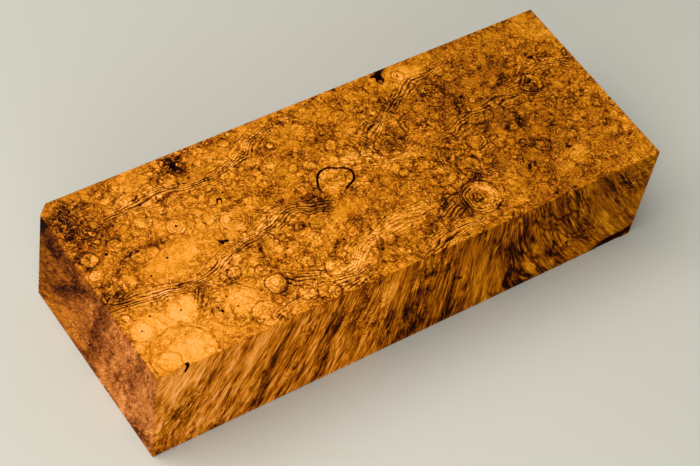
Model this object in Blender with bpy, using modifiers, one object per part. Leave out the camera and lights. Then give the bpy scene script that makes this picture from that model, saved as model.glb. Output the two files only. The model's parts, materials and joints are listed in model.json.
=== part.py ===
"""A sawn block of stabilized burl wood: one solid, standing on its flat base.

X runs along the block, Y across it towards the back and Z up. The origin is the bottom centre of the
bounding box. The block is sawn true on its long faces, and a little out of square at both ends. One upright
corner is clipped. Its natural faults are cut into it: a ring crack, voids, pinholes and a pocket of lost bark.
"""

import math

import bmesh
import bpy
from mathutils import Matrix, Vector

MM = 0.001

# Driving sizes of the block, in millimetres
FRONT_LENGTH = 130.0  # along the top edge of the front face
WIDTH = 49.9
HEIGHT = 29.2
EDGE_EASE = 0.3  # the saw-cut edges are only just eased

# How far out of square the two ends are sawn, in millimetres
LEFT_END_RUN = 0.83  # the left end reaches this much further out at the back
LEFT_END_UNDERCUT = 0.47  # and this much further in at the base
RIGHT_END_RUN = 0.10
RIGHT_END_UNDERCUT = 0.38

# The clipped upright corner at the back of the left end, in millimetres from the uncut corner
CLIP_ALONG_BACK = 2.56
CLIP_ALONG_END_TOP = 2.40
CLIP_ALONG_END_BASE = 0.95

# Middle of the bounding box, measured from the left end of the front top edge
CLIPPED_REACH = LEFT_END_RUN * (1 - CLIP_ALONG_END_TOP / WIDTH)
MIDDLE = (FRONT_LENGTH + RIGHT_END_RUN - CLIPPED_REACH) / 2

# Faults in the top face. Places are (millimetres from the left end, millimetres from the back edge).
RING_CRACK = [
    (55.3, 23.8), (55.4, 22.7), (55.9, 21.7), (56.5, 20.6), (57.1, 19.9), (58.1, 19.35), (59.3, 19.1),
    (60.3, 19.25), (61.0, 19.7), (62.0, 20.3), (63.1, 20.7), (64.0, 21.4), (64.4, 22.1), (64.35, 23.0),
    (63.9, 24.0), (63.2, 24.8), (62.2, 25.2), (61.3, 25.6), (60.7, 25.95),
]
WEDGE_VOID_TAIL = [(28.2, 23.6), (28.35, 24.4), (28.6, 25.1), (28.9, 25.7)]
BACK_SLIT = [(79.95, 2.9), (80.1, 4.0), (80.4, 5.3)]
GLINT_SLIT = [(89.35, 2.85), (89.2, 3.5), (89.1, 4.05)]
LEFT_SLIT = [(28.1, 4.1), (28.5, 4.4), (28.95, 4.75)]
EDGE_VOID = [
    (85.2, 0.5), (87.5, 0.5), (87.2, 0.75), (86.6, 0.85), (86.1, 1.5), (86.0, 1.9), (86.1, 2.9), (85.85, 3.3),
    (85.5, 3.7), (85.0, 3.95), (84.7, 4.35), (84.35, 4.1), (84.0, 3.6), (83.88, 2.7), (84.2, 1.8), (84.0, 1.6),
    (83.3, 1.5), (83.05, 1.2), (83.3, 0.85), (84.5, 0.65),
]
# The knob stands in the edge void, its top a little below the face
KNOB = [
    (85.4, 3.1), (85.25, 2.7), (84.95, 2.55), (84.6, 2.6), (84.35, 2.85), (84.3, 3.2), (84.45, 3.55),
    (84.8, 3.7), (85.2, 3.5),
]
KNOB_TOP = [(85.7, 3.1), (85.2, 2.35), (84.5, 2.35), (84.1, 3.2), (84.4, 3.8), (85.2, 3.75)]
FORKED_VOID = [
    (30.6, 1.95), (31.2, 2.3), (32.3, 2.6), (32.7, 3.4), (32.6, 4.1), (32.35, 4.0), (32.3, 3.1), (31.7, 2.9),
    (31.2, 3.2), (31.2, 3.8), (31.8, 4.5), (32.0, 5.2), (31.7, 5.9), (31.3, 5.6), (31.0, 4.9), (30.5, 4.9),
    (30.2, 5.5), (29.95, 5.0), (30.1, 4.2), (29.3, 3.7), (29.8, 3.0), (30.2, 2.6),
]
HORSESHOE_VOID = [
    (33.4, 16.9), (33.9, 15.7), (34.3, 15.35), (34.7, 15.55), (35.15, 15.55), (35.2, 16.1), (34.5, 17.2),
    (34.25, 17.2), (34.75, 16.25), (34.4, 16.1), (34.15, 16.2), (33.65, 17.0),
]
WEDGE_VOID = [
    (28.5, 25.2), (29.0, 25.4), (29.7, 25.75), (30.7, 25.95), (30.8, 26.65), (30.2, 26.7), (29.6, 26.45),
    (29.15, 26.9), (28.85, 26.75), (28.6, 26.1),
]
CRACK_DEPTH = 1.6
VOID_DEPTH = 1.8
KNOB_DEPTH = 0.35

# Pinholes in the top face: (from the left end, from the back edge, radius)
PINHOLES = [
    (6.3, 17.8, 0.45), (22.8, 18.0, 0.38), (17.0, 24.4, 0.32), (11.7, 27.0, 0.3), (20.1, 41.5, 0.4),
    (19.8, 40.3, 0.25), (23.5, 41.9, 0.25), (52.5, 37.5, 0.35), (46.7, 30.4, 0.3), (6.4, 35.7, 0.3),
    (3.2, 38.2, 0.25), (12.7, 37.3, 0.25), (22.7, 38.7, 0.28), (36.2, 14.6, 0.3), (33.8, 25.5, 0.25),
    (98.9, 15.6, 0.35), (120.9, 12.8, 0.35), (116.0, 18.6, 0.35), (112.2, 38.8, 0.35), (110.3, 33.0, 0.25),
    (67.5, 41.2, 0.25),
]
PINHOLE_DEPTH = 0.9

# Faults in the front face. Places are (from the left end, below the top edge).
FRONT_PINHOLES = [(75.0, 13.2, 0.3), (76.8, 14.5, 0.25), (34.5, 19.8, 0.45)]
EDGE_CRACK = [
    (6.9, -1.0), (8.0, -1.0), (7.6, 0.2), (7.1, 1.5), (6.75, 2.2), (6.35, 2.1), (6.3, 1.2), (6.6, 0.2),
]
EDGE_CRACK_DEPTH = 0.9
LOW_SLIT = [(14.2, 28.0), (15.4, 27.6), (16.8, 27.2)]
BARK_POCKET = [
    (118.9, 30.2), (119.2, 28.6), (119.45, 27.3), (120.1, 26.9), (121.3, 26.8), (122.3, 26.5), (123.3, 26.7),
    (124.5, 26.5), (125.9, 26.95), (126.9, 26.65), (127.75, 26.05), (128.85, 25.9), (132.0, 25.3),
    (132.0, 28.5), (129.3, 28.6), (127.3, 28.75), (126.6, 28.9), (126.4, 30.2),
]
BARK_POCKET_DEPTH = 0.2
BARK_HOLLOW = [
    (121.0, 27.6), (122.3, 27.0), (123.4, 27.15), (124.5, 27.0), (125.9, 27.35), (127.0, 27.1), (128.0, 26.6),
    (128.8, 26.5), (129.0, 27.3), (128.2, 28.0), (126.5, 28.2), (124.5, 28.3), (122.5, 28.3), (121.2, 28.2),
]
BARK_HOLLOW_DEPTH = 1.1

# Places on a face are turned into the block's frame by these matrices: x along the face, y up it, z out of it
TOP_FACE = Matrix.Translation(Vector((-MIDDLE, WIDTH / 2, HEIGHT)) * MM)
FRONT_FACE = Matrix.Translation(Vector((-MIDDLE, -WIDTH / 2, HEIGHT)) * MM) @ Matrix.Rotation(
    math.radians(90), 4, "X"
)


def clear_scene():
    for old in list(bpy.data.objects):
        bpy.data.objects.remove(old, do_unlink=True)


def new_collection(name):
    made = bpy.data.collections.new(name)
    bpy.context.scene.collection.children.link(made)
    return made


def wood_material():
    material = bpy.data.materials.new("burl_wood")
    material.use_nodes = True
    shader = material.node_tree.nodes["Principled BSDF"]
    shader.inputs["Base Color"].default_value = (0.52, 0.24, 0.045, 1.0)
    shader.inputs["Roughness"].default_value = 0.42
    shader.inputs["Metallic"].default_value = 0.0
    return material


def end_run(point):
    """How far a corner of the plain box moves along X, because the ends are sawn out of square."""
    at_back = point.y > 0
    at_base = point.z < HEIGHT * MM / 2
    if point.x < 0:
        return (LEFT_END_UNDERCUT * at_base - LEFT_END_RUN * at_back) * MM
    return (RIGHT_END_RUN * at_back - RIGHT_END_UNDERCUT * at_base) * MM


def clip_corner(mesh):
    """Saws off the upright corner at the back of the left end, more of it at the top."""
    corner = Vector((-MIDDLE - LEFT_END_RUN, WIDTH / 2, HEIGHT)) * MM
    foot = corner + Vector((LEFT_END_UNDERCUT, 0, -HEIGHT)) * MM
    on_back = corner + Vector((CLIP_ALONG_BACK, 0, 0)) * MM
    on_end = corner - Vector((0, CLIP_ALONG_END_TOP, 0)) * MM
    on_base = foot - Vector((0, CLIP_ALONG_END_BASE, 0)) * MM
    outward = (on_end - on_back).cross(on_base - on_back)
    if outward.dot(corner - on_back) < 0:
        outward.negate()
    cut = bmesh.ops.bisect_plane(
        mesh,
        geom=mesh.verts[:] + mesh.edges[:] + mesh.faces[:],
        plane_co=on_back,
        plane_no=outward,
        clear_outer=True,
    )
    edges = [item for item in cut["geom_cut"] if isinstance(item, bmesh.types.BMEdge)]
    bmesh.ops.holes_fill(mesh, edges=edges, sides=0)
    bmesh.ops.recalc_face_normals(mesh, faces=mesh.faces[:])


def make_block(collection):
    mesh = bmesh.new()
    bmesh.ops.create_cube(mesh, size=1.0)
    middle_of_front = FRONT_LENGTH / 2 - MIDDLE
    for vert in mesh.verts:
        vert.co.x *= FRONT_LENGTH * MM
        vert.co.y *= WIDTH * MM
        vert.co.z = (vert.co.z + 0.5) * HEIGHT * MM
        vert.co.x += end_run(vert.co)
        vert.co.x += middle_of_front * MM
    clip_corner(mesh)
    data = bpy.data.meshes.new("burl_block")
    mesh.to_mesh(data)
    mesh.free()
    block = bpy.data.objects.new("burl_block", data)
    data.materials.append(wood_material())
    collection.objects.link(block)
    ease = block.modifiers.new("eased_edges", "BEVEL")
    ease.width = EDGE_EASE * MM
    ease.segments = 2
    ease.limit_method = "ANGLE"
    ease.angle_limit = math.radians(30)
    return block


def curve_to_cutter(curve_object, collection):
    """Replaces a curve by a closed mesh of the same name, so that it can cut the block."""
    bpy.context.scene.collection.objects.link(curve_object)
    bpy.context.view_layer.update()
    depsgraph = bpy.context.evaluated_depsgraph_get()
    data = bpy.data.meshes.new_from_object(curve_object.evaluated_get(depsgraph))
    mesh = bmesh.new()
    mesh.from_mesh(data)
    bmesh.ops.remove_doubles(mesh, verts=mesh.verts[:], dist=0.000001)
    bmesh.ops.recalc_face_normals(mesh, faces=mesh.faces[:])
    mesh.to_mesh(data)
    mesh.free()
    cutter = bpy.data.objects.new("cut_" + curve_object.name, data)
    cutter.matrix_world = curve_object.matrix_world.copy()
    bpy.data.objects.remove(curve_object, do_unlink=True)
    add_cutter(cutter, collection)


def add_cutter(cutter, collection):
    cutter.hide_render = True
    cutter.display_type = "WIRE"
    collection.objects.link(cutter)


def add_spline(curve, points, closed):
    spline = curve.splines.new("POLY")
    spline.points.add(len(points) - 1)
    for target, (along, down) in zip(spline.points, points):
        target.co = (along * MM, -down * MM, 0, 1)
    spline.use_cyclic_u = closed
    return spline


def cut_void(name, outline, depth, face, collection, island=None):
    """A steep-walled hollow with a flat floor, round an island of wood when one is given."""
    curve = bpy.data.curves.new(name, "CURVE")
    curve.dimensions = "2D"
    curve.fill_mode = "BOTH"
    curve.extrude = depth * MM
    add_spline(curve, outline, True)
    if island:
        add_spline(curve, island, True)
    outline_object = bpy.data.objects.new(name, curve)
    outline_object.matrix_world = face
    curve_to_cutter(outline_object, collection)


def cut_crack(name, route, width, depth, face, collection):
    """A narrow groove along a route, deepest and widest in its middle and closing at both ends."""
    curve = bpy.data.curves.new(name, "CURVE")
    curve.dimensions = "3D"
    curve.bevel_depth = width / 2 * MM
    curve.bevel_resolution = 2
    curve.use_fill_caps = True
    spline = add_spline(curve, route, False)
    last = len(route) - 1
    for index, point in enumerate(spline.points):
        to_nearest_end = min(index, last - index)
        point.radius = min(1.0, 0.45 + 0.3 * to_nearest_end)
    groove = bpy.data.objects.new(name, curve)
    groove.matrix_world = face @ Matrix.Diagonal((1, 1, 2 * depth / width, 1))
    curve_to_cutter(groove, collection)


def cut_pinholes(name, holes, face, collection):
    """Short tapered holes, all in one cutter."""
    mesh = bmesh.new()
    for along, down, radius in holes:
        bmesh.ops.create_cone(
            mesh,
            cap_ends=True,
            segments=10,
            radius1=radius * 0.6 * MM,
            radius2=radius * 1.3 * MM,
            depth=2 * PINHOLE_DEPTH * MM,
            matrix=Matrix.Translation(Vector((along, -down, 0)) * MM),
        )
    data = bpy.data.meshes.new(name)
    mesh.to_mesh(data)
    mesh.free()
    cutter = bpy.data.objects.new("cut_" + name, data)
    cutter.matrix_world = face
    add_cutter(cutter, collection)


def cut_top_faults(collection):
    cut_crack("ring_crack", RING_CRACK, 0.42, CRACK_DEPTH, TOP_FACE, collection)
    cut_crack("wedge_void_tail", WEDGE_VOID_TAIL, 0.25, 0.8, TOP_FACE, collection)
    cut_crack("back_slit", BACK_SLIT, 0.7, 1.0, TOP_FACE, collection)
    cut_crack("glint_slit", GLINT_SLIT, 0.55, 0.8, TOP_FACE, collection)
    cut_crack("left_slit", LEFT_SLIT, 0.35, 0.6, TOP_FACE, collection)
    cut_void("edge_void", EDGE_VOID, VOID_DEPTH, TOP_FACE, collection, KNOB)
    cut_void("knob_top", KNOB_TOP, KNOB_DEPTH, TOP_FACE, collection)
    cut_void("forked_void", FORKED_VOID, VOID_DEPTH, TOP_FACE, collection)
    cut_void("horseshoe_void", HORSESHOE_VOID, VOID_DEPTH, TOP_FACE, collection)
    cut_void("wedge_void", WEDGE_VOID, VOID_DEPTH, TOP_FACE, collection)
    cut_pinholes("pinholes", PINHOLES, TOP_FACE, collection)


def cut_front_faults(collection):
    cut_pinholes("front_pinholes", FRONT_PINHOLES, FRONT_FACE, collection)
    cut_void("edge_crack", EDGE_CRACK, EDGE_CRACK_DEPTH, FRONT_FACE, collection)
    cut_crack("low_slit", LOW_SLIT, 0.3, 0.5, FRONT_FACE, collection)
    cut_void("bark_pocket", BARK_POCKET, BARK_POCKET_DEPTH, FRONT_FACE, collection)
    cut_void("bark_hollow", BARK_HOLLOW, BARK_HOLLOW_DEPTH, FRONT_FACE, collection)


def main():
    clear_scene()
    parts = new_collection("stabilized_burl_block")
    cutters = new_collection("cutters")
    block = make_block(parts)
    cut_top_faults(cutters)
    cut_front_faults(cutters)
    faults = block.modifiers.new("natural_faults", "BOOLEAN")
    faults.operation = "DIFFERENCE"
    faults.operand_type = "COLLECTION"
    faults.collection = cutters
    faults.solver = "EXACT"
    bpy.context.view_layer.update()


main()
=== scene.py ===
"""Looks of a sawn, stabilized burl wood block: its figured faces, its faults, the floor, light and camera.

The block is one closed mesh, fine enough to carry the layout of the figure as values at its points. Places on
the top face are (millimetres from the left end, millimetres from the back edge). Places on the front face are
(from the left end, below the top edge), and on the left end (from the back edge, below the top edge).
Lightness, darkness and the strength of lines are in hundredths. An ellipse may end in its turn, in degrees.
"""

import json
import math

import bmesh
import bpy
import numpy as np
from mathutils import Matrix, Vector

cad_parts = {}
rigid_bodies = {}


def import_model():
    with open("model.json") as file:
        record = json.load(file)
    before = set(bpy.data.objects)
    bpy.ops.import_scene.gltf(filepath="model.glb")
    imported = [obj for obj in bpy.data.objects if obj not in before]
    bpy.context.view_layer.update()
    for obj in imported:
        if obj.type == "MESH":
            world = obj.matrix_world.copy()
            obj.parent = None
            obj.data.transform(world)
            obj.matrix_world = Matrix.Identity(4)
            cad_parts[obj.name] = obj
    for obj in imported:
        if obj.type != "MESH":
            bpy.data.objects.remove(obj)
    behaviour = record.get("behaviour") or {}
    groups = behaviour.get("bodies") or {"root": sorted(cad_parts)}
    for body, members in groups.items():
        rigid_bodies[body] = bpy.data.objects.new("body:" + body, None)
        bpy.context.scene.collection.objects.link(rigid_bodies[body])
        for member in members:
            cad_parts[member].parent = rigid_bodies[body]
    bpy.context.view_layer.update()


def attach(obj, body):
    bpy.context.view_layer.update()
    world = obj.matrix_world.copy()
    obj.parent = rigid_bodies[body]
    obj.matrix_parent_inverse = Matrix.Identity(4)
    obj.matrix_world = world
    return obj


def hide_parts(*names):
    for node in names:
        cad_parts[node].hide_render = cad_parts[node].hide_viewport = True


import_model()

MM = 0.001

# Sizes of the block, in millimetres, as its solid has them
FRONT_LENGTH = 130.0
WIDTH = 49.9
HEIGHT = 29.2
EDGE_EASE = 0.3
LEFT_END_RUN = 0.83
LEFT_END_UNDERCUT = 0.47
RIGHT_END_RUN = 0.10
RIGHT_END_UNDERCUT = 0.38
CLIP_ALONG_BACK = 2.56
CLIP_ALONG_END_TOP = 2.40
CLIP_ALONG_END_BASE = 0.95
CLIPPED_REACH = LEFT_END_RUN * (1 - CLIP_ALONG_END_TOP / WIDTH)
MIDDLE = (FRONT_LENGTH + RIGHT_END_RUN - CLIPPED_REACH) / 2
POINT_STEP = 0.51  # spacing of the mesh points that carry the figure
WITHIN_BOX = 0.9999  # keeps the sharper clipped corner of this mesh inside the solid's box

# Camera and its lens, as the photograph was taken
CAMERA_PLACE = (-190.8, -212.0, 359.9)
CAMERA_AIM = (-10.15, -11.74, 29.2)
CAMERA_ROLL = 11.29
CAMERA_LENS = 103.5
FLOOR_HALF_WIDTH = 3.0  # in metres

# Faults cut into the top face
RING_CRACK = [
    (55.3, 23.8), (55.4, 22.7), (55.9, 21.7), (56.5, 20.6), (57.1, 19.9), (58.1, 19.35), (59.3, 19.1),
    (60.3, 19.25), (61, 19.7), (62, 20.3), (63.1, 20.7), (64, 21.4), (64.4, 22.1), (64.35, 23), (63.9, 24),
    (63.2, 24.8), (62.2, 25.2), (61.3, 25.6), (60.7, 25.95),
]
WEDGE_VOID_TAIL = [(28.2, 23.6), (28.35, 24.4), (28.6, 25.1), (28.9, 25.7)]
BACK_SLIT = [(79.95, 2.9), (80.1, 4.0), (80.4, 5.3)]
GLINT_SLIT = [(89.35, 2.85), (89.2, 3.5), (89.1, 4.05)]
LEFT_SLIT = [(28.1, 4.1), (28.5, 4.4), (28.95, 4.75)]
EDGE_VOID = [
    (85.2, 0.5), (87.5, 0.5), (87.2, 0.75), (86.6, 0.85), (86.1, 1.5), (86, 1.9), (86.1, 2.9), (85.85, 3.3),
    (85.5, 3.7), (85, 3.95), (84.7, 4.35), (84.35, 4.1), (84, 3.6), (83.88, 2.7), (84.2, 1.8), (84, 1.6),
    (83.3, 1.5), (83.05, 1.2), (83.3, 0.85), (84.5, 0.65),
]
# The knob stands in the edge void, its top a little below the face
KNOB = [
    (85.4, 3.1), (85.25, 2.7), (84.95, 2.55), (84.6, 2.6), (84.35, 2.85), (84.3, 3.2), (84.45, 3.55),
    (84.8, 3.7), (85.2, 3.5),
]
KNOB_TOP = [(85.7, 3.1), (85.2, 2.35), (84.5, 2.35), (84.1, 3.2), (84.4, 3.8), (85.2, 3.75)]
FORKED_VOID = [
    (30.6, 1.95), (31.2, 2.3), (32.3, 2.6), (32.7, 3.4), (32.6, 4.1), (32.35, 4), (32.3, 3.1), (31.7, 2.9),
    (31.2, 3.2), (31.2, 3.8), (31.8, 4.5), (32, 5.2), (31.7, 5.9), (31.3, 5.6), (31, 4.9), (30.5, 4.9),
    (30.2, 5.5), (29.95, 5), (30.1, 4.2), (29.3, 3.7), (29.8, 3), (30.2, 2.6),
]
HORSESHOE_VOID = [
    (33.4, 16.9), (33.9, 15.7), (34.3, 15.35), (34.7, 15.55), (35.15, 15.55), (35.2, 16.1), (34.5, 17.2),
    (34.25, 17.2), (34.75, 16.25), (34.4, 16.1), (34.15, 16.2), (33.65, 17),
]
WEDGE_VOID = [
    (28.5, 25.2), (29, 25.4), (29.7, 25.75), (30.7, 25.95), (30.8, 26.65), (30.2, 26.7), (29.6, 26.45),
    (29.15, 26.9), (28.85, 26.75), (28.6, 26.1),
]
VOID_DEPTH = 1.8
KNOB_DEPTH = 0.35
# (route, width, depth)
TOP_CRACKS = [
    (RING_CRACK, 0.6, 1.6), (WEDGE_VOID_TAIL, 0.25, 0.8), (BACK_SLIT, 0.7, 1.0), (GLINT_SLIT, 0.55, 0.8),
    (LEFT_SLIT, 0.35, 0.6),
]
KNOB_MIDDLE = (84.85, 3.1)
PINHOLE_DEPTH = 0.9
EDGE_CRACK_DEPTH = 0.9
LOW_SLIT_WIDTH = 0.3
LOW_SLIT_DEPTH = 0.5
BARK_POCKET_DEPTH = 0.2
BARK_HOLLOW_DEPTH = 1.1
# (from the left end, from the back edge, radius)
PINHOLES = [
    (6.3, 17.8, 0.45), (22.8, 18, 0.38), (17, 24.4, 0.32), (11.7, 27, 0.3), (20.1, 41.5, 0.4),
    (19.8, 40.3, 0.25), (23.5, 41.9, 0.25), (52.5, 37.5, 0.35), (46.7, 30.4, 0.3), (6.4, 35.7, 0.3),
    (3.2, 38.2, 0.25), (12.7, 37.3, 0.25), (22.7, 38.7, 0.28), (36.2, 14.6, 0.3), (33.8, 25.5, 0.25),
    (98.9, 15.6, 0.35), (120.9, 12.8, 0.35), (116, 18.6, 0.35), (112.2, 38.8, 0.35), (110.3, 33, 0.25),
    (67.5, 41.2, 0.25),
]

# Faults cut into the front face
FRONT_PINHOLES = [(75.0, 13.2, 0.3), (76.8, 14.5, 0.25), (34.5, 19.8, 0.45)]
EDGE_CRACK = [
    (6.9, -1), (8, -1), (7.6, 0.2), (7.1, 1.5), (6.75, 2.2), (6.35, 2.1), (6.3, 1.2), (6.6, 0.2),
]
LOW_SLIT = [(14.2, 28), (15.4, 27.6), (16.8, 27.2)]
BARK_POCKET = [
    (118.9, 30.2), (119.2, 28.6), (119.45, 27.3), (120.1, 26.9), (121.3, 26.8), (122.3, 26.5), (123.3, 26.7),
    (124.5, 26.5), (125.9, 26.95), (126.9, 26.65), (127.75, 26.05), (128.85, 25.9), (132, 25.3), (132, 28.5),
    (129.3, 28.6), (127.3, 28.75), (126.6, 28.9), (126.4, 30.2),
]
BARK_HOLLOW = [
    (121, 27.6), (122.3, 27), (123.4, 27.15), (124.5, 27), (125.9, 27.35), (127, 27.1), (128, 26.6),
    (128.8, 26.5), (129, 27.3), (128.2, 28), (126.5, 28.2), (124.5, 28.3), (122.5, 28.3), (121.2, 28.2),
]

# Veins of the top face: (route, half width, darkness, strength of the flow lines, lightness)
TOP_VEINS = [
    ([(81.5, 46), (80.7, 42.5), (82, 39.6), (84.8, 38)], 0.7, 75, 60, 0),
    ([(90, 44.5), (91.4, 41.5), (90, 38.5)], 0.6, 35, 60, 0),
    ([(94.8, 9), (96.8, 12), (95.8, 16), (96, 20)], 0.4, 60, 30, 0),
    ([(57, 35), (61, 33), (64, 36)], 0.6, 30, 30, 0),
    ([(71.5, 16.5), (76, 13), (80, 10.5), (84, 9)], 0.7, 60, 50, 0),
    ([(65, 49.5), (70, 47.8), (75, 46.5), (80, 46)], 0.8, 60, 90, 4),
    ([(44, 47.5), (48, 46.8), (53, 45.8)], 1, 55, 90, 3),
    ([(46.5, 40.5), (49.5, 38.8), (51.5, 37.4)], 0.6, 65, 20, 0),
    ([(84.8, 26), (83, 28.5), (83.3, 33)], 0.6, 45, 80, 2),
    ([(64, 20.8), (70, 22), (76, 24.5), (82, 26)], 1.3, 0, 35, 3),
    ([(71.8, 15), (71.5, 18), (72.3, 21.5)], 0.9, 45, 90, 4),
    ([(46, 45.6), (52, 42.5), (58, 39.4), (66, 37.6), (71, 38.5)], 0.6, 0, 50, 7),
    ([(76.5, 41), (80, 38.6), (84, 37.2), (88, 36)], 0.7, 65, 40, 0),
    ([(90.7, 22.2), (94, 21.6), (99.5, 20.8)], 0.9, 45, 90, 3),
    ([(105.7, 26), (105.6, 28.2), (105.9, 30.4)], 0.35, 90, 0, 0),
    ([(108.4, 16.7), (110.5, 14.3), (112.5, 15.6)], 0.5, 70, 20, 0),
    ([(114.1, 9.9), (113.7, 11.2), (114.3, 12.5)], 0.35, 60, 30, 0),
    ([(86, 38), (90, 43), (95, 48)], 1.1, 0, 30, 12),
    ([(104, 46), (108, 43), (112, 41)], 0.7, 0, 40, 5),
    ([(27.5, 30.4), (33, 29.6), (38, 28), (45, 26)], 0.45, 75, 50, 0),
    ([(30, 29), (36, 27.2), (44, 24.6)], 1.1, 0, 30, 13),
    ([(18, 8.2), (24, 9.4), (30, 9.2), (38, 10.6), (44, 9)], 0.5, 50, 50, 2),
    ([(8, 9.5), (13, 9.2), (18, 8.4), (25, 9.7), (35, 10.2), (40, 9.6), (45, 7.8), (49, 5.5), (53, 3.4),
      (58, 1.8)], 1.3, 30, 100, 0),
    ([(42, 9.5), (44, 11), (45, 13.5)], 0.5, 50, 20, 0),
    ([(28, 29.6), (33, 29), (37, 28.2), (41, 27), (45, 26), (48, 26), (52, 27.4),
      (55.5, 28)], 1.3, 45, 100, 0),
    ([(60.5, 27.6), (65, 26.3), (72, 24.8)], 0.8, 0, 50, 2),
    ([(-1, 31), (6, 31), (12, 31.7), (16, 32.5), (20, 33.1), (24, 32), (28, 30.5),
      (32, 29.3)], 1.5, 30, 100, 2),
    ([(44, 48), (48, 46.2), (53, 43.6), (57, 41.2), (61, 39.2), (66, 38.2), (71, 38.2),
      (76, 39.5)], 1.6, 0, 90, 6),
    ([(70, 17), (74, 15.3), (77, 13.6), (81, 11.7), (85, 9.4), (88, 7.8), (93, 6.3), (98, 5.3),
      (104, 4.4)], 1.2, 30, 90, 0),
    ([(86, 23.6), (90, 23.4), (93, 22.4), (98, 20.9), (104, 20.6), (110, 21.5), (115, 23.2),
      (118, 25)], 1.3, 20, 100, 3),
    ([(107, 17.5), (110, 18.6), (114, 18), (118, 15.9), (123, 15.9), (127, 17), (131, 19.4)], 1.3, 25, 90, 3),
    ([(66, 48.9), (72, 47.7), (78, 46.9), (84, 46)], 1.5, 25, 100, 0),
    ([(75, 41), (78, 39.8), (81, 38.8), (85, 37.8), (88, 37.2)], 0.8, 60, 70, 0),
    ([(74, 43), (77, 42), (80, 41.4)], 1.4, 20, 90, 4),
    ([(86, 32), (89, 35), (93, 37), (97, 38.8), (101, 40.5)], 1.2, 20, 70, 2),
    ([(107.2, 17.2), (109, 15.6), (111.3, 14.2), (112.3, 15.2)], 0.5, 90, 0, 0),
    ([(44, 46), (49, 46.8), (54, 46)], 1.3, 30, 100, 0),
    ([(46, 48.8), (50, 48.4), (54, 47.5)], 1.2, 30, 100, 0),
    ([(5, 24.5), (8, 21.8), (12, 20), (16, 19.5), (20, 19.9)], 0.7, 75, 30, 0),
    ([(20, 33.8), (18.5, 36), (16.5, 38)], 1, 45, 80, 0),
    ([(35, 30.3), (34.7, 32), (34.2, 34)], 0.4, 65, 0, 0),
    ([(27, 48.6), (32, 47.2), (38, 46.2)], 1, 20, 90, 0),
    ([(35, 40), (39, 42.4), (44, 44.4)], 1.4, 20, 90, 0),
    ([(58, 8.5), (62, 11), (66, 11.5)], 1.2, 25, 30, 0),
    ([(52, 10), (57, 12.5), (60, 14.5)], 0.8, 25, 50, 0),
    ([(70.6, 14.6), (72.2, 17), (71.6, 19.6)], 1.2, 35, 90, 0),
    ([(96.5, 10), (96.2, 14), (96.4, 20)], 0.7, 35, 50, 0),
    ([(110.5, 10.5), (114, 11.4), (114.6, 14)], 1.2, 35, 90, 0),
    ([(63, 18), (67, 19.8), (72, 22.4), (77, 23.8), (82, 24)], 1.8, 0, 80, 6),
    ([(86, 7.4), (91, 5.4), (96, 4.4)], 1.4, 0, 60, 9),
    ([(34, 27.4), (40, 25.4), (47, 23.8)], 1.3, 0, 80, 7),
    ([(24, 34), (29, 31.6), (34, 30.4)], 1.2, 0, 60, 6),
    ([(50, 44.5), (56, 42.6), (61, 40.6), (67, 39.8), (72, 40.4)], 1, 0, 80, 5),
    ([(102, 46), (107, 43), (112, 41.6), (117, 41)], 1.6, 0, 50, 4),
    ([(19.4, 3), (20.6, 7), (19.6, 10)], 0.8, 0, 40, 4),
]

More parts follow.
